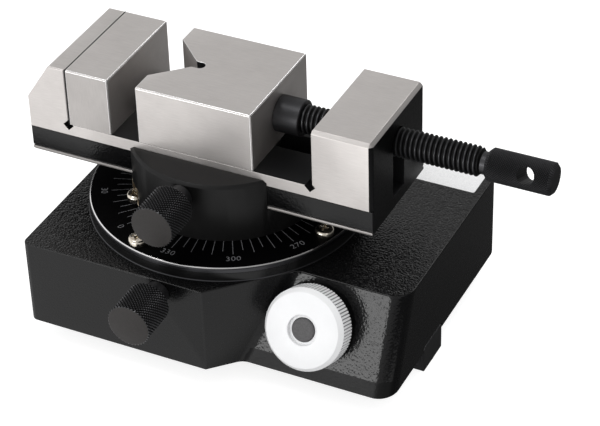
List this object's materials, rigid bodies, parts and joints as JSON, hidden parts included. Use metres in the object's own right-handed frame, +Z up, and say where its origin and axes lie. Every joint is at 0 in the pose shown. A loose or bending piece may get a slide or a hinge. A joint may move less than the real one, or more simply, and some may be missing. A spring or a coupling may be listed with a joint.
{
  "type": "rotary vise",
  "caption": "Small precision vise with a grooved moving jaw on a turning, sliding hub over a dark base with a fine-feed knob and a stage key.",
  "frame": {"origin": "the turntable's axis at the foot of the stage key, the plane the part stands on", "axes": "+X along the vise screw towards its handle, +Y away from the knob panel, +Z up along the turning axis"},
  "size_m": [0.2172, 0.1486, 0.1094],
  "materials": {
    "base_paint": "black hammer finish, glossy",
    "black_steel": "black oxide",
    "key_steel": "dark machined",
    "ground_steel": "surface ground",
    "jaw_steel": "surface ground",
    "dial_black": "black anodised with white figures",
    "hub_black": "satin black",
    "nickel": "nickel plated",
    "bronze": "turned bronze",
    "brass": "turned brass",
    "spindle_steel": "turned steel",
    "plain_steel": "machined steel",
    "screw_steel": "black cap screws",
    "knob_white": "satin white",
    "cover_plate": "dark plate",
    "ball_steel": "polished"
  },
  "bodies": {
    "base": {"base": "base_paint", "bottom_cover": "cover_plate", "cover_screws": "screw_steel", "stage_key": "key_steel", "key_screws": "screw_steel", "spindle_bush": "bronze", "feed_bush": "brass", "plunger_housing": "plain_steel", "base_lock_pad": "brass"},
    "arm": {"tangent_arm": "plain_steel"},
    "table": {"turntable": "spindle_steel", "thrust_collar": "plain_steel", "collar_grub_screws": "screw_steel", "snap_ring": "screw_steel", "dial": "dial_black", "dial_screws": "nickel", "hub": "hub_black", "hub_screws": "nickel", "hub_bolt": "screw_steel", "hub_clamp_pad": "brass"},
    "hub_clamp": {"hub_clamp_screw": "black_steel"},
    "base_lock": {"base_lock_screw": "black_steel"},
    "bed": {"vise_bed": "ground_steel", "jaw_plate": "jaw_steel", "jaw_plate_screws": "screw_steel"},
    "jaw": {"moving_jaw": "jaw_steel", "jaw_guide": "plain_steel", "jaw_guide_screws": "screw_steel", "nose_pin": "plain_steel"},
    "screw": {"lead_screw": "black_steel"},
    "feed": {"feed_ball": "ball_steel"},
    "knob": {"feed_screw": "plain_steel", "feed_knob": "knob_white"},
    "plunger": {"return_plunger": "plain_steel"}
  },
  "joints": [
    {"name": "fine_turn", "type": "hinge", "parent": "base", "child": "arm", "pos_m": [0, 0, 0.0285], "axis": [0, 0, 1], "range_deg": [-2.5, 2.5]},
    {"name": "table_turn", "type": "hinge", "parent": "arm", "child": "table", "pos_m": [0, 0, 0.0525], "axis": [0, 0, 1], "continuous": true},
    {"name": "bed_slide", "type": "slide", "parent": "table", "child": "bed", "axis": [1, 0, 0], "range_m": [-0.02, 0.02]},
    {"name": "jaw_travel", "type": "slide", "parent": "bed", "child": "jaw", "axis": [1, 0, 0], "range_m": [-0.0122, 0.0143]},
    {"name": "screw_turn", "type": "hinge", "parent": "jaw", "child": "screw", "pos_m": [0.088, 0, 0.09613], "axis": [1, 0, 0], "range_deg": [-2250, 2620]},
    {"name": "hub_clamp_turn", "type": "hinge", "parent": "table", "child": "hub_clamp", "pos_m": [0, -0.05, 0.0748], "axis": [0, -1, 0], "range_deg": [0, 360]},
    {"name": "base_lock_turn", "type": "hinge", "parent": "base", "child": "base_lock", "pos_m": [0, -0.07, 0.0432], "axis": [0, -1, 0], "range_deg": [0, 360]},
    {"name": "feed_travel", "type": "slide", "parent": "base", "child": "feed", "axis": [0, 0.9171, -0.3987], "range_m": [-0.0024, 0.0024]},
    {"name": "knob_turn", "type": "hinge", "parent": "feed", "child": "knob", "pos_m": [0.0588, -0.04168, 0.0314], "axis": [0, 0.9171, -0.3987], "range_deg": [-1140, 1140]},
    {"name": "plunger_travel", "type": "slide", "parent": "base", "child": "plunger", "axis": [0, 1, 0], "range_m": [-0.0026, 0.0026]}
  ],
  "couplings": [
    {"joint": "screw_turn", "follows": "jaw_travel", "rad_per_m": 3141.6},
    {"joint": "feed_travel", "follows": "fine_turn", "m_per_rad": 0.053923},
    {"joint": "knob_turn", "follows": "fine_turn", "ratio": 451.75},
    {"joint": "plunger_travel", "follows": "fine_turn", "m_per_rad": 0.0588}
  ]
}
